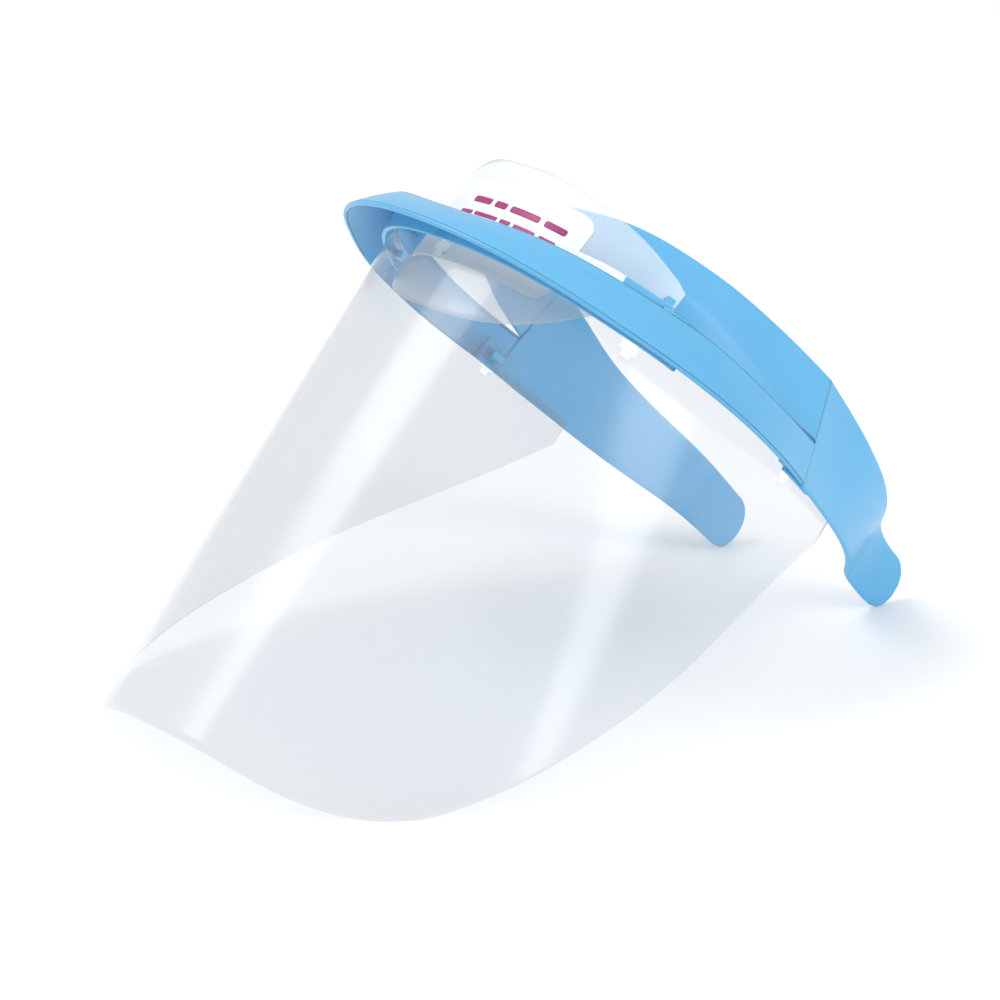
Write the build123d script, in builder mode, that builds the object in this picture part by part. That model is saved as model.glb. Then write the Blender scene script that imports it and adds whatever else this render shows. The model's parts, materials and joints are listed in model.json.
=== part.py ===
"""Face shield: a moulded visor headpiece, a hooked-on film, a brow strip and its label.

Everything is drawn level, as it is worn: +X is the wearer's left, -Y is ahead of the face, +Z is up,
and the origin is the middle of the brim's front edge. Each finished piece is then tipped back and
stood on the ground, which is how the shield rests on a table: on the film's two lower corners and
the tips of both arms. All sizes are in millimetres.
"""
import os

from build123d import *

# ---- resting pose: lean of the headpiece, and where the ground's origin lies in the level drawing
REST_TILT = 42.93
REST_SHIFT = (0, -43.37, 182.53)

# ---- walls and gaps
BRIM_WALL = 2.0
CROWN_WALL = 1.8
ARM_WALL = 2.0
RAIL_WALL = 1.6
FILM_WALL = 0.5
STRIP_WALL = 0.4
LABEL_WALL = 0.15
FILM_PLAY = 1.2  # at the front rail, whose foot the flared film nears as it is lifted
REAR_PLAY = 0.8
SEAM = 0.4  # lets an arm bend at its root

# ---- brim: half plan of its lower edge, and the flare's inward run and rise up to the ridge
BRIM = [
    (0, 0, 17.7, 12.4),
    (20, 2.5, 16.8, 12.8),
    (40, 11, 15.0, 14.4),
    (58, 26, 12.8, 15.8),
    (73, 47, 10.8, 16.7),
    (85, 69, 9.8, 17.2),
    (90.5, 88, 9.8, 17.2),
    (92.5, 108, 9.2, 16.4),
    (90, 131, 7.0, 15.9),
    (84.3, 153, 4.6, 15.8),
]

# ---- crown band: half plan of its crease, heights of lower edge, crease and top, lean of the top
CROWN = [
    (0, 58, 25.5, 32.0, 41.5, 4.5),
    (22, 61, 25.8, 32.3, 43.3, 4.5),
    (37, 70, 26.0, 32.5, 45.0, 5.0),
    (50, 85, 23.8, 31.4, 45.6, 6.0),
    (60, 99, 21.2, 29.0, 45.0, 6.5),
    (67.5, 115, 18.8, 25.6, 43.6, 6.5),
    (74, 133, 17.0, 21.2, 41.6, 6.5),
]
CROWN_END = (5.3, 15.8, 17.4, 39.4, 6.8)  # at the fork: distance inside the brim's edge, then as above
CROWN_LIP = 0.6  # how far the lower edge stands out past the crease

# ---- temple and arm: half plan of the lower edge, its height, the top edge's height and its lean
ARM = [
    (84.3, 153, -0.2, 39.4, 12.1),
    (81.0, 166, -0.6, 37.0, 9.4),
    (77.0, 180, -1.0, 33.6, 5.2),
    (73.0, 193, -1.5, 30.4, 2.2),
    (66.8, 208, -2.0, 27.4, 0.0),
    (60.0, 220, -2.4, 25.0, -1.0),
    (52.8, 230, -2.8, 22.8, -1.2),
    (47.2, 238, -3.3, 20.6, -0.8),
    (44.4, 248, -3.8, 18.6, 0.0),
    (43.4, 258, -4.2, 17.2, 0.0),
    (43.4, 269, -4.2, 16.6, 0.0),
]
ROOT = 1  # the station in ARM where the temple ends and the free arm begins
PAD_TIP, PAD_ROUND = 268.6, 8.5

# ---- film: half plan at its top edge, and at a level just below its foot
FILM_TOP_Z, FILM_FOOT_Z = 7.0, -200.0
FILM_TOP = [
    (0, 22.8), (19, 24.6), (36, 32), (52, 47), (64, 64), (71, 80), (76.7, 98), (80.3, 128), (79, 146), (71, 188),
]
FILM_FOOT = [
    (0, 22), (26, 27.5), (48, 42.5), (66, 58), (79, 70), (90, 79), (100, 89), (110.5, 112), (111.5, 140), (72, 186),
]
FILM_BOTTOM_Z = -196.5
FILM_CORNER = 50.0
FILM_REAR = (188.3, -8.2)  # y and z where the upright rear edge meets the slanted side edge
FILM_STEP = [(150.5, 7.0), (152, 1.5)]  # where the top edge drops behind the rear pegs, to clear the arms
FILM_SIDE_RUN = 0.66  # the side edge moves this far ahead for each mm down

# ---- front rail: its film points, reach out to the brim and height where it meets the ridge
FRONT_RAIL = [(0, 2.2, 11.8), (1, 2.4, 12.2), (2, 2.8, 13.6), (3, 3.8, 15.0), (4, 4.6, 15.8), (5, 4.8, 16.2)]
RAIL_FOOT_Z = 1.2
WEB = 1.6
REAR_RAIL = [(81.3, 141, 7.6, 11.6), (80.5, 148, 5.5, 10.2), (78.2, 161, 1.6, 7.6)]  # outer and inner top
REAR_RAIL_FOOT_Z = -0.8

# ---- hook pegs: a pad on the rail, a stem through the film and a head behind it
PEGS = {"centre_peg": (0, 0.0), "front_peg": (4, 0.2), "rear_peg": (8, 0.6)}  # film point, stand-off
PEG_Z = 3.6
PAD = (6.0, 4.4)
PAD_LIFT = 0.3
STEM = (3.0, 2.4)
HEAD = (5.6, 2.4, 1.2)
HEAD_EASE = 0.4
HEAD_GAP = 0.8
# the film's cross-shaped cut-outs: its arms let a head through once the film is lifted by LIFT
LIFT = 4.2
CROSS_ARMS = (7.0, 3.2)
CROSS_SLOT = 4.0
CROSS_FOOT = 3.8  # from the middle of the arms down
SLOT_PLAY = 0.3

# ---- brow strip: half plan at the height of its top, its lens outline, and its forward lean
STRIP_TOP_Z, STRIP_BOTTOM_Z = 42.5, -21.0
STRIP_LEAN = 8.0
STRIP_PLAN = [(0, 38), (15, 39.6), (24, 43), (33, 48.4), (42, 55), (50, 62.9), (56, 71.2), (61.5, 81)]
STRIP_EDGE_TOP = [(0, 42.5), (15, 42.3), (33, 40), (50, 35.7), (58, 31.2)]
STRIP_EDGE_BOTTOM = [(57.5, 18.4), (45, -1), (27, -16.5), (0, -21)]
STRIP_END_X = 60.4
STRIP_END_DROP, STRIP_END_ROUND = 2.5, 1.2

# ---- label: width, height, corner and centre height
LABEL = (70.0, 36.0, 5.0)
LABEL_Z = 16.0

# ---- strip clips: raised finger on the ridge, tongue reaching in, and two posts beside the strip
FINGER = [(60.5, 48.4), (66.5, 56.6), (72, 65.6)]
FINGER_Z = (13.0, 18.8)
FINGER_WALL, FINGER_IN = 1.6, 0.3
TONGUE = [(70.8, 61.4), (75.2, 70.5), (61, 80), (55.8, 73)]
TONGUE_Z = (15.4, 17.2)
POST = (3.2, 1.5, 9.0)
POST_PLAY = 0.35
POST_AT = 0.965  # how far along the strip's half plan the posts stand


def both_sides(half):
    """The whole plan from a half plan that starts in the middle."""
    return [(-p[0], *p[1:]) for p in reversed(half[1:])] + list(half)


def station(rows, i, before=None, after=None):
    """An upright plane at row i of a plan: local x points inward, local y up."""
    here = Vector(rows[i][0], rows[i][1])
    back = Vector(*(rows[i - 1] if i > 0 else before or rows[0])[:2])
    ahead = Vector(*(rows[i + 1] if i + 1 < len(rows) else after or rows[-1])[:2])
    along = (ahead - back).normalized()
    inward = Vector(-along.Y, along.X)
    return Plane(origin=here, x_dir=inward, z_dir=along)


def offset_line(points, distance, steps=40):
    """Points along the smooth line through the given points, moved inward by a distance."""
    line = Edge.make_spline([Vector(*p[:2]) for p in points])
    ends = [i / steps for i in range(steps + 1)]
    return [(line @ t) + Vector(0, 0, 1).cross(line % t).normalized() * distance for t in ends]


def level_to_rest(shape):
    """Tips a finished piece back and stands it on the ground."""
    return Pos(*REST_SHIFT) * Rot(-REST_TILT, 0, 0) * shape


def finish(name, builder):
    part = level_to_rest(builder.part)
    part.label = name
    export_step(part, f"parts/{name}.step")


os.makedirs("parts", exist_ok=True)

# ---- brim
fork_before, fork_after = (-ARM[1][0], ARM[1][1]), ARM[1][:2]
brim_rows = both_sides(BRIM)
with BuildPart() as brim:
    for i, (x, y, run, rise) in enumerate(brim_rows):
        flat = BRIM_WALL * (run**2 + rise**2) ** 0.5 / rise
        with BuildSketch(station(brim_rows, i, fork_before, fork_after)):
            Polygon((0, 0), (run, rise), (run + flat, rise), (flat, 0), align=None)
    loft()
finish("brim", brim)

# ---- crown band: its ends lie in the same plane as the brim's
crown_rows = both_sides(CROWN)
with BuildPart() as crown_band:
    for i in range(-1, len(crown_rows) + 1):
        if 0 <= i < len(crown_rows):
            plane = station(crown_rows, i, (-BRIM[-1][0], BRIM[-1][1]), BRIM[-1][:2])
            at, (low, crease, top, lean) = 0, crown_rows[i][2:]
        else:
            plane = station(brim_rows, 0 if i < 0 else len(brim_rows) - 1, fork_before, fork_after)
            at, low, crease, top, lean = CROWN_END
        with BuildSketch(plane):
            outer = [(at - CROWN_LIP, low), (at, crease), (at + lean, top)]
            Polygon(*outer, *[(a + CROWN_WALL, b) for a, b in reversed(outer)], align=None)
    loft()
finish("crown_band", crown_band)

# ---- temples, fixed, and the free arms behind them, which bend at a narrow seam
with BuildPart() as left_temple:
    for i in range(ROOT + 1):
        x, y, low, top, lean = ARM[i]
        with BuildSketch(station(ARM, i, before=BRIM[-2][:2])):
            Polygon((0, low), (lean, top), (lean + ARM_WALL, top), (ARM_WALL, low), align=None)
    loft()

with BuildPart() as left_arm:
    for i in range(ROOT, len(ARM)):
        x, y, low, top, lean = ARM[i]
        plane = station(ARM, i)
        if i == ROOT:
            plane = plane.offset(SEAM)
        with BuildSketch(plane):
            Polygon((0, low), (lean, top), (lean + ARM_WALL, top), (ARM_WALL, low), align=None)
    loft()
    low, top = ARM[-1][2:4]
    with BuildSketch(Plane.YZ):
        with Locations((ARM[ROOT][1] - 20, 0)):
            Rectangle(2 * (PAD_TIP - PAD_ROUND - ARM[ROOT][1] + 20), 120)
        with Locations((PAD_TIP - 1.5 * PAD_ROUND, (low + top) / 2)):
            RectangleRounded(3 * PAD_ROUND, top - low, PAD_ROUND)
    extrude(amount=200, both=True, mode=Mode.INTERSECT)

# ---- film: a flaring curved sheet cut to its side outline, with a notch for each peg
film_rows = both_sides(FILM_TOP)
middle = len(FILM_TOP) - 1
with BuildPart() as face_film:
    for z, half in ((FILM_TOP_Z, FILM_TOP), (FILM_FOOT_Z, FILM_FOOT)):
        with BuildSketch(Plane.XY.offset(z)):
            with BuildLine():
                outer = Spline(*offset_line(both_sides(half), 0))
                inner = Spline(*offset_line(both_sides(half), FILM_WALL))
                Line(outer @ 0, inner @ 0)
                Line(outer @ 1, inner @ 1)
            make_face()
    loft(ruled=True)
    with BuildSketch(Plane.YZ):
        rear_y, rear_z = FILM_REAR
        corner_y = rear_y - (rear_z - FILM_BOTTOM_Z) * FILM_SIDE_RUN
        with BuildLine():
            Polyline((-20, FILM_TOP_Z), (-20, FILM_BOTTOM_Z), (corner_y, FILM_BOTTOM_Z), FILM_REAR,
                     (rear_y, FILM_STEP[-1][1]), *reversed(FILM_STEP), close=True)
        make_face()
        foot = vertices().sort_by_distance((corner_y, FILM_BOTTOM_Z))[0]
        fillet(foot, FILM_CORNER)
    extrude(amount=150, both=True, mode=Mode.INTERSECT)
    arms_z = PEG_Z - LIFT
    slot = arms_z - CROSS_FOOT, PEG_Z + STEM[1] / 2 + SLOT_PLAY
    for row, _ in PEGS.values():
        for i in {middle - row, middle + row}:
            with Locations(station(film_rows, i)):
                with Locations((0, sum(slot) / 2, 0)):
                    Box(8, slot[1] - slot[0], CROSS_SLOT, mode=Mode.SUBTRACT)
                with Locations((0, arms_z, 0)):
                    Box(8, CROSS_ARMS[1], CROSS_ARMS[0], mode=Mode.SUBTRACT)
finish("face_film", face_film)

# ---- rails that the film lies against: one across the front, a short one at each side
with BuildPart() as front_rail:
    wall_out = -FILM_PLAY - RAIL_WALL
    for i, reach, top in both_sides(FRONT_RAIL):
        with BuildSketch(station(film_rows, middle + i)):
            Polygon((-FILM_PLAY, RAIL_FOOT_Z), (-FILM_PLAY, top), (wall_out - reach, top),
                    (wall_out - reach, top - WEB), (wall_out, top - WEB), (wall_out, RAIL_FOOT_Z), align=None)
    loft()
finish("front_rail", front_rail)

rear_wall_out = -REAR_PLAY - RAIL_WALL
with BuildPart() as left_rail:
    for i, (x, y, outer_top, inner_top) in enumerate(REAR_RAIL):
        with BuildSketch(station(REAR_RAIL, i)):
            Polygon((-REAR_PLAY, REAR_RAIL_FOOT_Z), (-REAR_PLAY, inner_top), (rear_wall_out, outer_top),
                    (rear_wall_out, REAR_RAIL_FOOT_Z), align=None)
    loft()

# ---- hook pegs
pegs = {}
for name, (row, stand_off) in PEGS.items():
    with BuildPart() as peg:
        with Locations(station(film_rows, middle + row)):
            with Locations((wall_out + RAIL_WALL / 2 - stand_off, PEG_Z + PAD_LIFT, 0)):
                Box(RAIL_WALL, PAD[1], PAD[0])
            stem = stand_off + FILM_PLAY + FILM_WALL + HEAD_GAP
            with Locations((FILM_WALL + HEAD_GAP - stem / 2, PEG_Z, 0)):
                Box(stem, STEM[1], STEM[0])
            with Locations((FILM_WALL + HEAD_GAP + HEAD[2] / 2, PEG_Z, 0)):
                Box(HEAD[2], HEAD[1], HEAD[0])
        fillet(peg.edges().filter_by(Axis.Z).group_by(Axis.Y)[-1], HEAD_EASE)
    pegs[name] = peg
finish("centre_peg", pegs["centre_peg"])

# ---- brow strip and the label on its front
lean = Vector(0, STRIP_LEAN, STRIP_TOP_Z - STRIP_BOTTOM_Z)
strip_rows = both_sides([(x, y - STRIP_LEAN) for x, y in STRIP_PLAN])
with BuildPart() as brow_strip:
    with BuildSketch(Plane.XY.offset(STRIP_BOTTOM_Z)):
        with BuildLine():
            outer = Spline(*offset_line(strip_rows, 0))
            inner = Spline(*offset_line(strip_rows, STRIP_WALL))
            Line(outer @ 0, inner @ 0)
            Line(outer @ 1, inner @ 1)
        make_face()
    extrude(amount=lean.length, dir=lean)
    with BuildSketch(Plane.XZ):
        with BuildLine():
            upper = Spline(*both_sides(STRIP_EDGE_TOP))
            lower = Spline(*both_sides(STRIP_EDGE_BOTTOM[::-1]))
            for end in (0, 1):
                side = 2 * end - 1
                Polyline(upper @ end, (side * STRIP_END_X, (upper @ end).Y - STRIP_END_DROP),
                         (side * STRIP_END_X, (lower @ end).Y + STRIP_END_DROP), lower @ end)
        make_face()
        fillet(vertices().group_by(Axis.X)[-1] + vertices().group_by(Axis.X)[0], STRIP_END_ROUND)
    extrude(amount=150, both=True, mode=Mode.INTERSECT)
finish("brow_strip", brow_strip)

with BuildPart() as label:
    with BuildSketch(Plane.XY.offset(STRIP_BOTTOM_Z)):
        with BuildLine():
            outer = Spline(*offset_line(strip_rows, -LABEL_WALL))
            inner = Spline(*offset_line(strip_rows, 0))
            Line(outer @ 0, inner @ 0)
            Line(outer @ 1, inner @ 1)
        make_face()
    extrude(amount=lean.length, dir=lean)
    with BuildSketch(Plane.XZ):
        with Locations((0, LABEL_Z)):
            RectangleRounded(*LABEL)
    extrude(amount=150, both=True, mode=Mode.INTERSECT)
finish("label", label)

# ---- strip clips
strip_edge = Edge.make_spline([Vector(*p) for p in strip_rows])
with BuildPart() as left_clip:
    with BuildSketch(Plane.XY.offset(FINGER_Z[0])):
        with BuildLine():
            outer = Spline(*offset_line(FINGER, FINGER_IN))
            inner = Spline(*offset_line(FINGER, FINGER_IN + FINGER_WALL))
            Line(outer @ 0, inner @ 0)
            Line(outer @ 1, inner @ 1)
        make_face()
    extrude(amount=FINGER_Z[1] - FINGER_Z[0])
    with BuildSketch(Plane.XY.offset(TONGUE_Z[0])):
        Polygon(*TONGUE, align=None)
    extrude(amount=TONGUE_Z[1] - TONGUE_Z[0])
    length, wall, height = POST
    spot = strip_edge @ POST_AT + lean * ((TONGUE_Z[0] - STRIP_BOTTOM_Z) / lean.Z)
    spot = Vector(spot.X, spot.Y, TONGUE_Z[0])
    along = strip_edge % POST_AT
    with BuildSketch(Plane(origin=spot, x_dir=Vector(-along.Y, along.X), z_dir=(0, 0, 1))):
        for out in (-POST_PLAY - wall / 2, STRIP_WALL + POST_PLAY + wall / 2):
            with Locations((out, 0)):
                Rectangle(wall, length)
    extrude(amount=height, dir=lean)

# ---- both sides of the handed pieces
handed = {"temple": left_temple, "arm": left_arm, "rail": left_rail, "clip": left_clip,
          "front_peg": pegs["front_peg"], "rear_peg": pegs["rear_peg"]}
for name, left in handed.items():
    with BuildPart() as right:
        mirror(left.part, about=Plane.YZ)
    finish(f"left_{name}", left)
    finish(f"right_{name}", right)
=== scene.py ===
"""Face shield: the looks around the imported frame. Shapes are drawn level, as worn, in millimetres
(+X the wearer's left, -Y ahead, +Z up, origin at the middle of the brim's front edge), and `rest`
turns them into the row frame, where the shield stands on the film's lower corners and the arms' tips."""
import json
import math

import bmesh
import bpy
import numpy as np
from mathutils import Matrix, Vector


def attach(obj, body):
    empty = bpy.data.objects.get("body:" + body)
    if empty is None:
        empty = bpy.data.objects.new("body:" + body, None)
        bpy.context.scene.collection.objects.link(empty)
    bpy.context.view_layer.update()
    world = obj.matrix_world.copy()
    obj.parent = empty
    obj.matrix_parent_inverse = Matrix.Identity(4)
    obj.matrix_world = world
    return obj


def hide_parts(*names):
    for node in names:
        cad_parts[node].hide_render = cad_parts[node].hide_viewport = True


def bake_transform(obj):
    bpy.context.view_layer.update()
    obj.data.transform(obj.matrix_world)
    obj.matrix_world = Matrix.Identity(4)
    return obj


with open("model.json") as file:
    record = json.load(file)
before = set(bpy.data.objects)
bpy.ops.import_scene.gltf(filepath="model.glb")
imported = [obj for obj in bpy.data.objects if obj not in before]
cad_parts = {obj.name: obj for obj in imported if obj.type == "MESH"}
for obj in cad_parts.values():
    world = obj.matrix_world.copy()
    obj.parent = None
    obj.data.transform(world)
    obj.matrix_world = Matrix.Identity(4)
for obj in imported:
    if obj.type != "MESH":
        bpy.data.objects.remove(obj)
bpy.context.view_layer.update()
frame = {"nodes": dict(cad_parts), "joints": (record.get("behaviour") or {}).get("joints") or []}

# ---- the level drawing's place in the row frame, from the joints
MM = 0.001
JOINTS = {joint["name"]: joint for joint in frame["joints"]}
LEVEL_UP = Vector(JOINTS["film_release"]["axis"])
COS, SIN = LEVEL_UP.z, LEVEL_UP.y
SEAM = (81.0, 166.0, -0.6)
SEAM_AT_REST = JOINTS["left_arm_bend"]["pos_m"]

# ---- walls
BRIM_WALL, CROWN_WALL, ARM_WALL = 2.0, 1.8, 2.0
FILM_WALL, STRIP_WALL, LABEL_WALL, PRINT_WALL = 0.5, 0.4, 0.13, 0.03

# ---- moulding: half plan of the brim's lower edge with the flare's run and rise
BRIM = [
    (0, 0, 17.7, 12.4),
    (20, 2.5, 16.8, 12.8),
    (40, 11, 15.0, 14.4),
    (58, 26, 12.8, 15.8),
    (73, 47, 10.8, 16.7),
    (85, 69, 9.8, 17.2),
    (90.5, 88, 9.8, 17.2),
    (92.5, 108, 9.2, 16.4),
    (90, 131, 7.0, 15.9),
    (84.3, 153, 4.6, 15.8),
]
BRIM_BOW = 0.7
# a shallow channel below each finger: its x range, its share of the way up the brim, its depth
GROOVE_X, GROOVE_PATH, GROOVE_DEPTH = (61.5, 73.0), (0.58, 0.72), 0.45
# crown: half plan of its crease, heights of lower edge, crease and top, lean of the top
CROWN = [
    (0, 58, 25.5, 32.0, 41.5, 4.5),
    (22, 61, 25.8, 32.3, 43.3, 4.5),
    (37, 70, 26.0, 32.5, 45.0, 5.0),
    (50, 85, 23.8, 31.4, 45.6, 6.0),
    (60, 99, 21.2, 29.0, 45.0, 6.5),
    (67.5, 115, 18.8, 25.6, 43.6, 6.5),
    (74, 133, 17.0, 21.2, 41.6, 6.5),
]
CROWN_END = (5.3, 15.8, 17.4, 39.4, 6.8)  # at the fork: distance inside the brim's edge, then as above
CROWN_LIP, CROWN_FOLD = 0.6, 2.4
# arm, from the fork back: half plan of the lower edge, heights of lower and top edge, lean of the top
ARM = [
    (84.3, 153, -0.2, 39.4, 12.1),
    (81.0, 166, -0.6, 37.0, 9.4),
    (77.0, 180, -1.0, 33.6, 5.2),
    (73.0, 193, -1.5, 30.4, 2.2),
    (66.8, 208, -2.0, 27.4, 0.0),
    (60.0, 220, -2.4, 25.0, -1.0),
    (52.8, 230, -2.8, 22.8, -1.2),
    (47.2, 238, -3.3, 20.6, -0.8),
    (44.4, 248, -3.8, 18.6, 0.0),
    (43.4, 258, -4.2, 17.2, 0.0),
    (43.4, 269, -4.2, 16.6, 0.0),
]
PAD_TIP, PAD_ROUND = 268.6, 8.5

# ---- film: half plan at its top edge and at a level below its foot, and its outline seen from the side
FILM_TOP_Z, FILM_FOOT_Z, FILM_BOTTOM_Z = 7.0, -200.0, -196.5
FILM_TOP = [
    (0, 22.8), (19, 24.6), (36, 32), (52, 47), (64, 64),
    (71, 80), (76.7, 98), (80.3, 128), (79, 146), (71, 188),
]
FILM_FOOT = [
    (0, 22), (26, 27.5), (48, 42.5), (66, 58), (79, 70),
    (90, 79), (100, 89), (110.5, 112), (111.5, 140), (72, 186),
]
FILM_CORNER, FILM_REAR, FILM_SIDE_RUN = 50.0, (188.3, -8.2), 0.66
FILM_STEP_Y, FILM_REAR_TOP = (150.5, 152.0), 1.5  # behind the rear pegs its top edge drops
# cross-shaped cut-outs for the pegs: film points, arms (width, height), slot width,
# heights of foot, arms and head, depths of the tools that cut the slot and the arms
CROSS_ROWS, CROSS_ARMS, CROSS_SLOT = (0, 4, 8), (7.0, 3.2), 4.0
CROSS_FOOT_Z, CROSS_ARMS_Z, CROSS_HEAD_Z = -4.4, -0.6, 5.1
SLOT_DEPTH, ARMS_DEPTH = 8, 8.2

# ---- brow strip and label
STRIP_TOP_Z, STRIP_BOTTOM_Z, STRIP_LEAN = 42.5, -21.0, 8.0
STRIP_PLAN = [(0, 38), (15, 39.6), (24, 43), (33, 48.4), (42, 55), (50, 62.9), (56, 71.2), (61.5, 81)]
STRIP_EDGE_TOP = [(0, 42.5), (15, 42.3), (33, 40), (50, 35.7), (58, 31.2)]
STRIP_EDGE_BOTTOM = [(0, -21), (27, -16.5), (45, -1), (57.5, 18.4)]
STRIP_END_X, STRIP_END_DROP = 60.4, 2.5
LABEL, LABEL_Z = (70.0, 36.0, 5.0), 16.0  # width, height and corner, and the height of its middle
STICKER_GAP, PRINT_GAP = 0.01, 0.02  # air under the sticker and the print, so that no faces coincide
PRINT_CORNER = 0.3  # of a bar's height
# generic print: rows of (left end, height on the sheet, bar height, gap, bar widths)
PRINT_ROWS = [
    (-14, 24.5, 2.6, 2.0, (10, 6, 13, 8)),
    (-17, 18.8, 1.6, 1.5, (7, 12, 5, 9, 6)),
    (-17, 14.4, 0.9, 1.2, (5, 9, 4, 8, 6, 7)),
]

# ---- looks
VISOR_BLUE, VISOR_BLUE_LIGHT = (0.1, 0.39, 0.66), (0.115, 0.42, 0.69)
FILM_TINT, FILM_HAZE = (0.9, 0.91, 0.92), 0.03
STRIP_TINT, STRIP_HAZE = (0.93, 0.94, 0.945), 0.3
SHEET_IOR = 1.57
EDGE_EASE = 0.0003  # m
SKY_STRENGTH = 0.85

# ---- camera, as the object is seen
VIEW_AZIMUTH, VIEW_ELEVATION, VIEW_DISTANCE, LENS = 49.0, 20.0, 1.9, 191.5
VIEW_POINT = (0, 110, -60)
VIEW_SHIFT = (2.5, 3.0)  # mm to the right and up from the view point


# ======================================================================== geometry helpers
def tip(points):
    """Level directions or differences, in mm, turned to the row frame, in metres."""
    p = np.asarray(points, float)
    x, y, z = p[..., 0], p[..., 1], p[..., 2]
    return np.stack([x, y * COS + z * SIN, z * COS - y * SIN], axis=-1) * MM


REST_SHIFT = np.array(SEAM_AT_REST) - tip(SEAM)


def rest(points):
    """Level points, in mm, to the row frame, in metres."""
    return tip(points) + REST_SHIFT


def both_sides(half):
    """The whole plan from a half plan that starts in the middle."""
    return [(-p[0], *p[1:]) for p in reversed(half[1:])] + list(half)


def chords(rows):
    """Distance along a plan to each of its rows."""
    steps = np.linalg.norm(np.diff(np.array(rows, float)[:, :2], axis=0), axis=1)
    return np.concatenate([[0.0], np.cumsum(steps)])


class Smooth:
    """A natural cubic spline through values at knots."""

    def __init__(self, knots, values):
        self.knots, self.values = np.array(knots, float), np.array(values, float)
        gap = np.diff(self.knots)
        count = len(self.knots)
        system, right = np.eye(count), np.zeros_like(self.values)
        for i in range(1, count - 1):
            system[i, i - 1:i + 2] = gap[i - 1], 2 * (gap[i - 1] + gap[i]), gap[i]
            after = (self.values[i + 1] - self.values[i]) / gap[i]
            before = (self.values[i] - self.values[i - 1]) / gap[i - 1]
            right[i] = 6 * (after - before)
        self.bends = np.linalg.solve(system, right)

    def at(self, where):
        where = np.atleast_1d(np.asarray(where, float))
        i = np.clip(np.searchsorted(self.knots, where, side="right") - 1, 0, len(self.knots) - 2)
        gap = self.knots[i + 1] - self.knots[i]
        shape = (-1,) + (1,) * (self.values.ndim - 1)
        t = ((where - self.knots[i]) / gap).reshape(shape)
        gap = gap.reshape(shape)
        low, high = self.values[i], self.values[i + 1]
        bend = ((1 - t) ** 3 - (1 - t)) * self.bends[i] + (t**3 - t) * self.bends[i + 1]
        return (1 - t) * low + t * high + bend * gap**2 / 6


def inward_of(plan, where, step=0.2):
    """Unit directions to the inside of a plan, in XY."""
    along = plan.at(np.asarray(where) + step)[:, :2] - plan.at(np.asarray(where) - step)[:, :2]
    along /= np.linalg.norm(along, axis=1)[:, None]
    return np.stack([-along[:, 1], along[:, 0]], axis=-1)


def fold_path(corners, fold, steps=7):
    """A path through three corners, with its middle corner rounded."""
    first, middle, last = (np.array(c, float) for c in corners)
    to_first, to_last = first - middle, last - middle
    reach = min(fold, 0.45 * np.linalg.norm(to_first), 0.45 * np.linalg.norm(to_last))
    start = middle + to_first * reach / np.linalg.norm(to_first)
    end = middle + to_last * reach / np.linalg.norm(to_last)
    t = np.linspace(0, 1, steps)[:, None]
    curve = (1 - t) ** 2 * start + 2 * t * (1 - t) * middle + t**2 * end
    lead = [first + (start - first) * s for s in (0, 0.3, 0.7)]
    tail = [end + (last - end) * s for s in (0.25, 0.5, 0.75, 1)]
    return np.array([*lead, *curve, *tail])


def plateau(value, low, high, ease):
    """1 between low and high, falling to 0 over ease on either side."""
    return float(np.clip((value - low) / ease + 0.5, 0, 1) * np.clip((high - value) / ease + 0.5, 0, 1))


def bowed_path(start, end, bow, steps=11):
    """A path from start to end that bows outward in the middle."""
    start, end = np.array(start, float), np.array(end, float)
    along = (end - start) / np.linalg.norm(end - start)
    t = np.linspace(0, 1, steps)[:, None]
    out = np.array([-along[1], along[0]])
    return start + (end - start) * t + out * bow * np.sin(math.pi * t)


def wall_loop(path, wall, arc=7):
    """The closed outline of a wall that follows a path on its outer face and has two rounded lips."""
    along = np.gradient(path, axis=0)
    along /= np.linalg.norm(along, axis=1)[:, None]
    path = path.copy()
    path[0] += along[0] * wall / 2
    path[-1] -= along[-1] * wall / 2
    inward = np.stack([along[:, 1], -along[:, 0]], axis=-1)
    inner = path + inward * wall
    angles = np.linspace(0, math.pi, arc + 2)[1:-1, None]

    def lip(i, sign):
        centre = (path[i] + inner[i]) / 2
        across, ahead = sign * inward[i] * wall / 2, sign * along[i] * wall / 2
        return centre - across * np.cos(angles) + ahead * np.sin(angles)

    return np.concatenate([path, lip(-1, 1), inner[::-1], lip(0, -1)])


def mesh_object(name, points, faces, body, smooth=True):
    """A Blender object from level points, with its faces turned outward, that rides on a body."""
    mesh = bpy.data.meshes.new(name)
    mesh.from_pydata([tuple(p) for p in rest(points)], [], faces)
    work = bmesh.new()
    work.from_mesh(mesh)
    bmesh.ops.recalc_face_normals(work, faces=work.faces)
    for face in work.faces:
        face.smooth = smooth and len(face.verts) == 4
    work.to_mesh(mesh)
    work.free()
    made = bpy.data.objects.new(name, mesh)
    bpy.context.scene.collection.objects.link(made)
    if body:
        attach(made, body)
    return made


def tube_parts(origins, inward, loops):
    """Points and faces of a closed band: one loop of (inward, up) values stands at each origin."""
    stations, size = len(loops), len(loops[0])
    points = []
    for i in range(stations):
        a, b = loops[i][:, 0], loops[i][:, 1]
        plan = origins[i][:2] + inward[i] * a[:, None]
        points.append(np.column_stack([plan, b]))
    faces = [list(range(size))[::-1], list(range((stations - 1) * size, stations * size))]
    for i in range(stations - 1):
        for j in range(size):
            k = (j + 1) % size
            faces.append([i * size + j, i * size + k, (i + 1) * size + k, (i + 1) * size + j])
    return np.concatenate(points), faces


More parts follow.
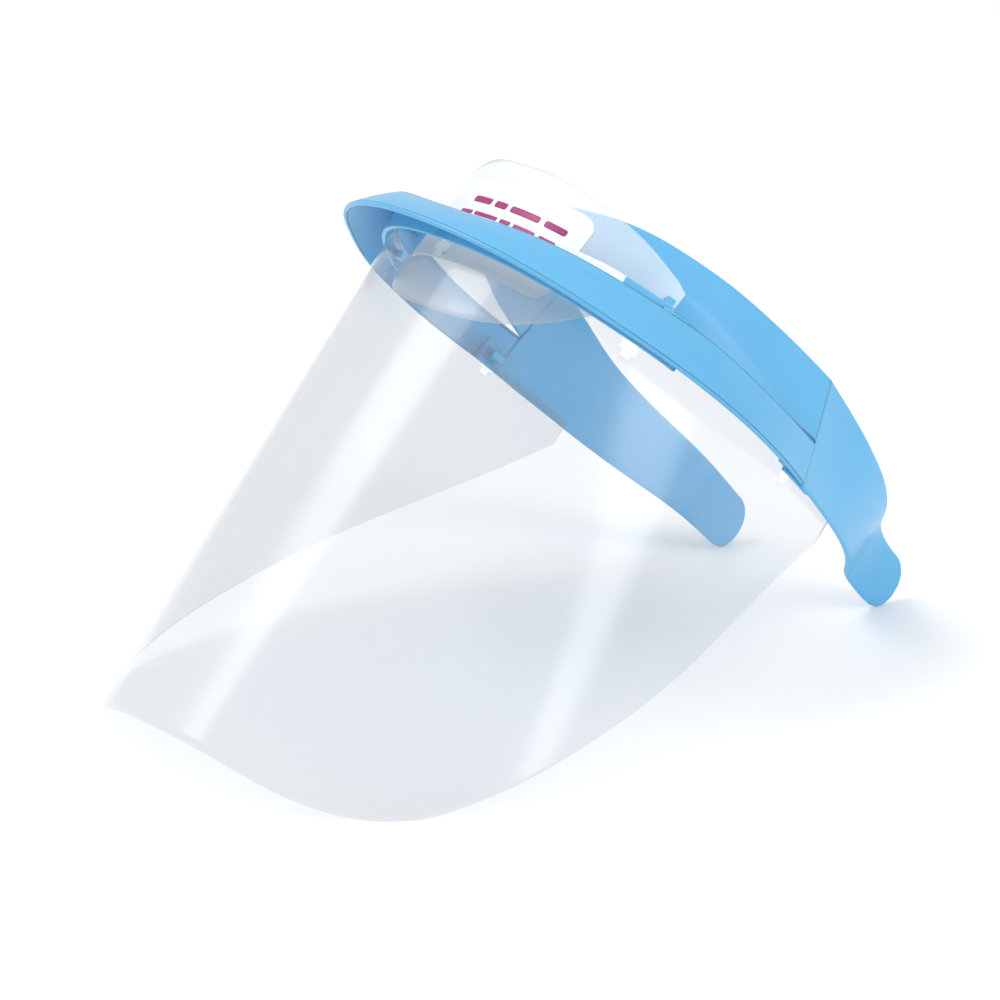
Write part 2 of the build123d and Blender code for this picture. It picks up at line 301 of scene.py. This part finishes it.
def joined(parts):
    """Several (points, faces) as one."""
    points, faces, offset = [], [], 0
    for part_points, part_faces in parts:
        points.append(part_points)
        faces += [[offset + i for i in face] for face in part_faces]
        offset += len(part_points)
    return np.concatenate(points), faces


def sheet_parts(grid, wall, lift=0.0):
    """Points and faces of a closed sheet: its outer face is grid, lifted outward, its wall goes inward."""
    across, down = np.gradient(grid, axis=0), np.gradient(grid, axis=1)
    normal = np.cross(across, down)
    normal /= np.maximum(np.linalg.norm(normal, axis=-1), 1e-9)[..., None]
    middle = normal[normal.shape[0] // 2, normal.shape[1] // 2]
    if middle[1] > 0:
        normal = -normal
    outer = grid + normal * lift
    inner = outer - normal * wall
    rows, columns = grid.shape[:2]
    count = rows * columns
    points = np.concatenate([outer.reshape(-1, 3), inner.reshape(-1, 3)])
    faces = []
    for i in range(rows - 1):
        for j in range(columns - 1):
            quad = [i * columns + j, (i + 1) * columns + j, (i + 1) * columns + j + 1, i * columns + j + 1]
            faces.append(quad)
            faces.append([count + v for v in reversed(quad)])
    rim = [i * columns for i in range(rows)]
    rim += [(rows - 1) * columns + j for j in range(1, columns)]
    rim += [i * columns + columns - 1 for i in range(rows - 2, -1, -1)]
    rim += [j for j in range(columns - 2, 0, -1)]
    for a, b in zip(rim, rim[1:] + rim[:1]):
        faces.append([a, b, count + b, count + a])
    return points, faces


# ======================================================================== materials
def material(name):
    """A new node material and its Principled shader."""
    made = bpy.data.materials.new(name)
    made.use_nodes = True
    return made, made.node_tree.nodes, made.node_tree.links, made.node_tree.nodes["Principled BSDF"]


def noise(nodes, links, scale, detail=4.0, stretch=(1, 1, 1)):
    """A noise texture in object coordinates, in metres."""
    place = nodes.new("ShaderNodeTexCoord")
    mapping = nodes.new("ShaderNodeMapping")
    mapping.inputs["Scale"].default_value = stretch
    texture = nodes.new("ShaderNodeTexNoise")
    texture.inputs["Scale"].default_value = scale
    texture.inputs["Detail"].default_value = detail
    links.new(place.outputs["Object"], mapping.inputs["Vector"])
    links.new(mapping.outputs["Vector"], texture.inputs["Vector"])
    return texture.outputs["Fac"]


def ramp(nodes, links, source, stops):
    """A colour ramp on a value: stops are (position, colour)."""
    made = nodes.new("ShaderNodeValToRGB")
    for element, (position, colour) in zip(made.color_ramp.elements, stops):
        element.position = position
        element.color = (*colour, 1)
    links.new(source, made.inputs["Fac"])
    return made.outputs["Color"]


def value_range(nodes, links, source, low, high):
    made = nodes.new("ShaderNodeMapRange")
    made.inputs["To Min"].default_value = low
    made.inputs["To Max"].default_value = high
    links.new(source, made.inputs["Value"])
    return made.outputs["Result"]


def bump(nodes, links, shader, source, distance, strength=0.3):
    made = nodes.new("ShaderNodeBump")
    made.inputs["Distance"].default_value = distance
    made.inputs["Strength"].default_value = strength
    links.new(source, made.inputs["Height"])
    links.new(made.outputs["Normal"], shader.inputs["Normal"])


def visor_plastic():
    """Sky-blue moulded polypropylene: faintly uneven colour, a fine satin skin and soft translucence."""
    made, nodes, links, shader = material("visor_plastic")
    tone = ramp(nodes, links, noise(nodes, links, 14, 3), [(0.3, VISOR_BLUE), (0.75, VISOR_BLUE_LIGHT)])
    links.new(tone, shader.inputs["Base Color"])
    rough = value_range(nodes, links, noise(nodes, links, 90, 4, (1, 3, 1)), 0.27, 0.4)
    links.new(rough, shader.inputs["Roughness"])
    shader.inputs["IOR"].default_value = 1.49
    shader.inputs["Subsurface Weight"].default_value = 0.18
    shader.inputs["Subsurface Radius"].default_value = (0.0015, 0.004, 0.006)
    shader.inputs["Subsurface Scale"].default_value = 1.0
    bump(nodes, links, shader, noise(nodes, links, 1400, 3), 0.00006, 0.25)
    return made


def clear_sheet(name, tint, haze):
    """Clear plastic sheet: tinted, see-through, mirroring on its outer faces, with faint handling haze."""
    made, nodes, links, shader = material(name)
    shader.inputs["Base Color"].default_value = (0.93, 0.96, 0.98, 1)
    rough = value_range(nodes, links, noise(nodes, links, 9, 2), 0.16, 0.22)
    links.new(rough, shader.inputs["Roughness"])
    shader.inputs["IOR"].default_value = SHEET_IOR
    output = nodes["Material Output"]
    clear = nodes.new("ShaderNodeBsdfTransparent")
    clear.inputs["Color"].default_value = (*tint, 1)
    gloss = nodes.new("ShaderNodeBsdfGlossy")
    gloss.inputs["Color"].default_value = (1, 1, 1, 1)
    links.new(rough, gloss.inputs["Roughness"])
    fresnel = nodes.new("ShaderNodeFresnel")
    fresnel.inputs["IOR"].default_value = SHEET_IOR
    geometry = nodes.new("ShaderNodeNewGeometry")
    outside = nodes.new("ShaderNodeMath")
    outside.operation = "SUBTRACT"
    outside.inputs[0].default_value = 1.0
    links.new(geometry.outputs["Backfacing"], outside.inputs[1])
    factor = nodes.new("ShaderNodeMath")
    factor.operation = "MULTIPLY"
    links.new(fresnel.outputs["Fac"], factor.inputs[0])
    links.new(outside.outputs[0], factor.inputs[1])
    mirror = nodes.new("ShaderNodeMixShader")
    links.new(factor.outputs[0], mirror.inputs["Fac"])
    links.new(clear.outputs[0], mirror.inputs[1])
    links.new(gloss.outputs[0], mirror.inputs[2])
    milky = nodes.new("ShaderNodeMixShader")
    cloud = value_range(nodes, links, noise(nodes, links, 11, 5), haze * 0.5, haze * 1.5)
    links.new(cloud, milky.inputs["Fac"])
    links.new(mirror.outputs[0], milky.inputs[1])
    links.new(shader.outputs[0], milky.inputs[2])
    links.new(milky.outputs[0], output.inputs["Surface"])
    return made


def label_stock():
    """White satin sticker with a faint paper-like tooth."""
    made, nodes, links, shader = material("label_stock")
    tone = ramp(nodes, links, noise(nodes, links, 60, 4),
                [(0.3, (0.8, 0.83, 0.86)), (0.8, (0.85, 0.87, 0.89))])
    links.new(tone, shader.inputs["Base Color"])
    links.new(value_range(nodes, links, noise(nodes, links, 300, 3), 0.35, 0.5), shader.inputs["Roughness"])
    bump(nodes, links, shader, noise(nodes, links, 2500, 2), 0.00003, 0.2)
    return made


def print_ink():
    """Magenta print with slightly uneven cover."""
    made, nodes, links, shader = material("print_ink")
    tone = ramp(nodes, links, noise(nodes, links, 400, 3),
                [(0.35, (0.33, 0.012, 0.13)), (0.7, (0.4, 0.03, 0.19))])
    links.new(tone, shader.inputs["Base Color"])
    links.new(value_range(nodes, links, noise(nodes, links, 700, 3), 0.3, 0.45), shader.inputs["Roughness"])
    return made


def floor_paint():
    """Seamless white studio floor with the faintest mottling."""
    made, nodes, links, shader = material("studio_floor")
    tone = ramp(nodes, links, noise(nodes, links, 2, 2),
                [(0.3, (0.93, 0.93, 0.93)), (0.8, (0.95, 0.95, 0.95))])
    links.new(tone, shader.inputs["Base Color"])
    shader.inputs["Roughness"].default_value = 0.6
    return made


def paint(made, *materials):
    made.data.materials.clear()
    for one in materials:
        made.data.materials.append(one)


# ======================================================================== visor moulding
def columns_of(rows, columns):
    """Some of the columns of a table."""
    return [[row[c] for c in columns] for row in rows]


FRONT, REAR = both_sides(BRIM), ARM[1:]
PLAN_ROWS = [(-x, y, low) for x, y, low, _, _ in reversed(REAR)] + [(x, y, 0) for x, y, _, _ in FRONT]
PLAN_ROWS += [(x, y, low) for x, y, low, _, _ in REAR]
PLAN_KNOTS = chords(PLAN_ROWS)
PLAN = Smooth(PLAN_KNOTS, PLAN_ROWS)
FORKS = PLAN_KNOTS[len(REAR)], PLAN_KNOTS[-1 - len(REAR)]
HALF_WAY = sum(FORKS) / 2


def brim_parts(stations=301):
    shape = Smooth(PLAN_KNOTS[len(REAR):-len(REAR)], columns_of(FRONT, (2, 3)))
    where = np.linspace(*FORKS, stations)
    rows, inward, flare = PLAN.at(where), inward_of(PLAN, where), shape.at(where)
    loops = []
    for u, (x, _, low), (run, rise) in zip(where, rows, flare):
        fade = 1 - abs((u - HALF_WAY) / (FORKS[1] - HALF_WAY)) ** 4
        path = bowed_path((0, low), (run, rise), BRIM_BOW * fade, steps=29)
        loop = wall_loop(path, BRIM_WALL)
        groove = GROOVE_DEPTH * plateau(abs(x), *GROOVE_X, 1.0)
        for i in range(len(path)):
            loop[i, 0] += groove * plateau(i / (len(path) - 1), *GROOVE_PATH, 0.04)
        loops.append(loop)
    return tube_parts(rows, inward, loops)


def crown_parts(stations=161):
    ends = PLAN.at(FORKS)[:, :2] + inward_of(PLAN, FORKS) * CROWN_END[0]
    rows = [(*ends[0], *CROWN_END[1:]), *both_sides(CROWN), (*ends[1], *CROWN_END[1:])]
    knots = chords(rows)
    plan = Smooth(knots, rows)
    where = np.linspace(0, knots[-1], stations)
    values, inward = plan.at(where), inward_of(plan, where)
    fork_inward = inward_of(PLAN, FORKS)
    loops = []
    for i, (_, _, low, crease, top, lean) in enumerate(values):
        turn = abs(2 * i / (stations - 1) - 1) ** 12
        inward[i] = inward[i] * (1 - turn) + fork_inward[int(i > stations / 2)] * turn
        path = fold_path([(-CROWN_LIP, low), (0, crease), (lean, top)], CROWN_FOLD)
        loops.append(wall_loop(path, CROWN_WALL))
    return tube_parts(values, inward, loops)


def arm_parts(stations=150):
    """The left arm, from the fork to the round end of its pad."""
    knots = PLAN_KNOTS[-len(ARM):]
    shape = Smooth(knots, columns_of(ARM, (2, 3, 4)))
    where = np.linspace(knots[0], knots[-1], stations)
    ys = PLAN.at(where)[:, 1]
    end = np.interp(PAD_TIP, ys, where)
    round_start = np.interp(PAD_TIP - PAD_ROUND, ys, where)
    swing = np.linspace(0, math.pi / 2, 16)[1:]
    where = np.concatenate([np.linspace(knots[0], round_start, stations),
                            round_start + (end - round_start) * np.sin(swing)])
    rows, inward, walls = PLAN.at(where), inward_of(PLAN, where), shape.at(where)
    loops = []
    for (_, y, _), (low, top, lean) in zip(rows, walls):
        into = max(0.0, y - (PAD_TIP - PAD_ROUND))
        inset = PAD_ROUND - math.sqrt(max(0.0, PAD_ROUND**2 - min(into, PAD_ROUND) ** 2))
        slope = lean / (top - low)
        path = bowed_path((slope * inset, low + inset), (lean - slope * inset, top - inset), 0.0)
        loops.append(wall_loop(path, ARM_WALL))
    return tube_parts(rows, inward, loops)


def mirrored(parts):
    points, faces = parts
    return points * np.array([-1, 1, 1]), [face[::-1] for face in faces]


def build_visor(plastic):
    shell = mesh_object("visor_shell", *joined([brim_parts(), crown_parts()]), "visor")
    paint(shell, plastic)
    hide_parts("brim", "crown_band")
    for side, parts in (("left", arm_parts()), ("right", mirrored(arm_parts()))):
        arm = mesh_object(f"{side}_wrap_arm", *parts, None)
        paint(arm, plastic)
        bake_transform(arm)
        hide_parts(f"{side}_temple", f"{side}_arm")


def ease_edges(node, width, plastic):
    """A CAD node kept as it is, with its sharp edges eased."""
    piece = frame["nodes"][node]
    paint(piece, plastic)
    weld = piece.modifiers.new("weld", "WELD")
    weld.merge_threshold = 0.00002
    bevel = piece.modifiers.new("ease", "BEVEL")
    bevel.width = width
    bevel.segments = 3
    bevel.limit_method = "ANGLE"
    bevel.angle_limit = math.radians(35)
    bevel.harden_normals = True


# ======================================================================== film and strip
def film_low(y_at, z_from):
    """How far down a column of the film goes, given its y at each height."""
    rear_y, rear_z = FILM_REAR
    corner_y = rear_y - (rear_z - FILM_BOTTOM_Z) * FILM_SIDE_RUN
    length = math.hypot(FILM_SIDE_RUN, 1)
    side_out = np.array([1 / length, -FILM_SIDE_RUN / length])
    half = math.acos(-side_out[1]) / 2
    centre = np.array([corner_y - FILM_CORNER * math.tan(half), FILM_BOTTOM_Z + FILM_CORNER])

    def inside(z):
        y = y_at(z)
        if z < FILM_BOTTOM_Z or y > rear_y:
            return False
        if (y - rear_y) * side_out[0] + (z - rear_z) * side_out[1] > 0:
            return False
        across = np.array([y, z]) - centre
        past_bottom = across[0] > 0
        past_side = across @ np.array([FILM_SIDE_RUN, 1]) < 0
        return not (past_bottom and past_side and np.linalg.norm(across) > FILM_CORNER)

    low, high = FILM_BOTTOM_Z, z_from
    for _ in range(40):
        middle = (low + high) / 2
        low, high = (low, middle) if inside(middle) else (middle, high)
    return high


def film_grid(columns=260, rows=70):
    top_rows, foot_rows = both_sides(FILM_TOP), both_sides(FILM_FOOT)
    share = chords(top_rows) / chords(top_rows)[-1]
    foot_share = chords(foot_rows) / chords(foot_rows)[-1]
    top, foot = Smooth(share, top_rows), Smooth(foot_share, foot_rows)
    grid = np.zeros((columns, rows, 3))
    fall = np.linspace(0, 1, rows)
    for i, t in enumerate(np.linspace(0, 1, columns)):
        high_point, low_point = top.at(t)[0], foot.at(t)[0]

        def plan_at(z):
            return high_point + (low_point - high_point) * (FILM_TOP_Z - z) / (FILM_TOP_Z - FILM_FOOT_Z)

        highest = np.interp(plan_at(FILM_TOP_Z)[1], FILM_STEP_Y, (FILM_TOP_Z, FILM_REAR_TOP))
        lowest = film_low(lambda z: plan_at(z)[1], highest)
        for j, z in enumerate(highest + (lowest - highest) * fall):
            grid[i, j] = (*plan_at(z), z)
    return grid


def box_parts(origin, along, inward, size, centre_z):
    """A box on a plan point: size is along, inward and up."""
    points = []
    for a in (-0.5, 0.5):
        for b in (-0.5, 0.5):
            for c in (-0.5, 0.5):
                xy = origin + along * size[0] * a + inward * size[1] * b
                points.append((*xy, centre_z + size[2] * c))
    faces = [[0, 1, 3, 2], [4, 6, 7, 5], [0, 4, 5, 1], [2, 3, 7, 6], [0, 2, 6, 4], [1, 5, 7, 3]]
    return np.array(points), faces


def cut_crosses(film):
    """Cuts the cross-shaped openings for the pegs below the film's top edge."""
    rows = both_sides(FILM_TOP)
    knots = chords(rows)
    plan = Smooth(knots, rows)
    middle = len(FILM_TOP) - 1
    parts = []
    for i in sorted({middle + side * row for row in CROSS_ROWS for side in (-1, 1)}):
        inward = inward_of(plan, [knots[i]])[0]
        along = np.array([inward[1], -inward[0]])
        origin = np.array(rows[i], float)
        height, centre = CROSS_HEAD_Z - CROSS_FOOT_Z, (CROSS_HEAD_Z + CROSS_FOOT_Z) / 2
        parts.append(box_parts(origin, along, inward, (CROSS_SLOT, SLOT_DEPTH, height), centre))
        arms = CROSS_ARMS[0], ARMS_DEPTH, CROSS_ARMS[1]
        parts.append(box_parts(origin, along, inward, arms, CROSS_ARMS_Z))
    cutters = [mesh_object(f"cutter_{i}", *part, None, smooth=False) for i, part in enumerate(parts)]
    for cutter in cutters:
        cut = film.modifiers.new("cut", "BOOLEAN")
        cut.operation = "DIFFERENCE"
        cut.solver = "EXACT"
        cut.object = cutter
    bpy.context.view_layer.update()
    solid = bpy.data.meshes.new_from_object(film.evaluated_get(bpy.context.evaluated_depsgraph_get()))
    film.modifiers.clear()
    film.data = solid
    for cutter in cutters:
        bpy.data.objects.remove(cutter)


def build_film(sheet):
    film = mesh_object("face_film_sheet", *sheet_parts(film_grid(), FILM_WALL), "film")
    cut_crosses(film)
    paint(film, sheet)
    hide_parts("face_film")


STRIP_ROWS = both_sides([(x, y - STRIP_LEAN) for x, y in STRIP_PLAN])
STRIP_X = Smooth([row[0] for row in STRIP_ROWS], [row[1] for row in STRIP_ROWS])


def on_strip(x, z):
    """The point of the strip's outer face at a given x and height."""
    lean = STRIP_LEAN * (z - STRIP_BOTTOM_Z) / (STRIP_TOP_Z - STRIP_BOTTOM_Z)
    return x, float(STRIP_X.at(x)[0]) + lean, z


def patch(edges_at, xs, rows):
    """A grid on the strip's outer face: edges_at gives the low and high z at each x."""
    grid = np.zeros((len(xs), rows, 3))
    for i, x in enumerate(xs):
        low, high = edges_at(x)
        for j, z in enumerate(np.linspace(high, low, rows)):
            grid[i, j] = on_strip(x, z)
    return grid


def strip_edges(x):
    """The strip's low and high z at a given x."""
    x = abs(x)
    upper = Smooth(*zip(*both_sides(STRIP_EDGE_TOP)))
    lower = Smooth(*zip(*both_sides(STRIP_EDGE_BOTTOM)))
    top_x, low_x = STRIP_EDGE_TOP[-1][0], STRIP_EDGE_BOTTOM[-1][0]
    high = float(upper.at(min(x, top_x))[0]) - STRIP_END_DROP * max(0, x - top_x) / (STRIP_END_X - top_x)
    low = float(lower.at(min(x, low_x))[0]) + STRIP_END_DROP * max(0, x - low_x) / (STRIP_END_X - low_x)
    return low, high


def rounded_edges(centre_x, centre_z, width, height, corner):
    """A function giving the low and high z of a rounded rectangle at each x."""
    def edges(x):
        past = max(0.0, abs(x - centre_x) - (width / 2 - corner))
        half = height / 2 - corner + math.sqrt(max(0.0, corner**2 - past**2))
        return centre_z - half, centre_z + half
    return edges


def spread(low, high, count):
    """Values from low to high that crowd towards both ends."""
    return (low + high) / 2 - (high - low) / 2 * np.cos(np.linspace(0, math.pi, count))


def build_strip(sheet, stock, ink):
    grid = patch(strip_edges, spread(-STRIP_END_X, STRIP_END_X, 121), 30)
    strip = mesh_object("brow_strip_sheet", *sheet_parts(grid, STRIP_WALL), "strip")
    paint(strip, sheet)
    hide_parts("brow_strip")
    width, height, corner = LABEL
    outline = rounded_edges(0, LABEL_Z, width, height, corner)
    grid = patch(outline, spread(-width / 2, width / 2, 61), 24)
    sticker_parts = sheet_parts(grid, LABEL_WALL, lift=LABEL_WALL + STICKER_GAP)
    sticker = mesh_object("label_sticker", *sticker_parts, "strip")
    paint(sticker, stock)
    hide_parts("label")
    bars = []
    for x, z, height, gap, widths in PRINT_ROWS:
        for width in widths:
            outline = rounded_edges(x + width / 2, z, width, height, height * PRINT_CORNER)
            grid = patch(outline, spread(x, x + width, 15), 6)
            bars.append(sheet_parts(grid, PRINT_WALL, lift=LABEL_WALL + PRINT_GAP + PRINT_WALL))
            x += width + gap
    print_bars = mesh_object("label_print", *joined(bars), "strip")
    paint(print_bars, ink)


# ======================================================================== studio
def build_floor():
    bpy.ops.mesh.primitive_plane_add(size=14, location=(0, 0, -0.0002))
    floor = bpy.context.object
    floor.name = "studio_floor"
    paint(floor, floor_paint())


def area_light(name, place, target, size, power):
    lamp = bpy.data.lights.new(name, "AREA")
    lamp.shape = "RECTANGLE"
    lamp.size, lamp.size_y = size
    lamp.energy = power
    holder = bpy.data.objects.new(name, lamp)
    holder.location = place
    holder.rotation_euler = (Vector(target) - Vector(place)).to_track_quat("-Z", "Y").to_euler()
    bpy.context.scene.collection.objects.link(holder)


def build_studio():
    build_floor()
    world = bpy.data.worlds.new("studio")
    bpy.context.scene.world = world
    world.use_nodes = True
    world.node_tree.nodes["Background"].inputs["Color"].default_value = (1, 1, 1, 1)
    world.node_tree.nodes["Background"].inputs["Strength"].default_value = SKY_STRENGTH
    area_light("key", (-0.5, -0.9, 1.9), (0, 0, 0.1), (1.3, 1.3), 20)
    area_light("side", (1.7, 0.5, 1.0), (0, 0, 0.1), (0.8, 1.4), 11)
    bpy.context.scene.view_settings.view_transform = "Standard"


def build_camera():
    azimuth, elevation = math.radians(VIEW_AZIMUTH), math.radians(VIEW_ELEVATION)
    back = Vector((math.sin(azimuth) * math.cos(elevation), -math.cos(azimuth) * math.cos(elevation),
                   math.sin(elevation)))
    right = Vector((math.cos(azimuth), math.sin(azimuth), 0))
    up = back.cross(right)
    target = Vector(rest(VIEW_POINT)) + (right * VIEW_SHIFT[0] + up * VIEW_SHIFT[1]) * MM
    lens = bpy.data.cameras.new("camera")
    lens.lens = LENS
    lens.sensor_width = 36
    holder = bpy.data.objects.new("camera", lens)
    holder.location = target + back * VIEW_DISTANCE
    holder.rotation_euler = Matrix((right, up, back)).transposed().to_euler()
    bpy.context.scene.collection.objects.link(holder)
    bpy.context.scene.camera = holder


blue = visor_plastic()
build_visor(blue)
for node in (n for n in frame["nodes"] if "rail" in n or "peg" in n or "clip" in n):
    ease_edges(node, EDGE_EASE, blue)
build_film(clear_sheet("film_sheet", FILM_TINT, FILM_HAZE))
build_strip(clear_sheet("strip_sheet", STRIP_TINT, STRIP_HAZE), label_stock(), print_ink())
build_studio()
build_camera()
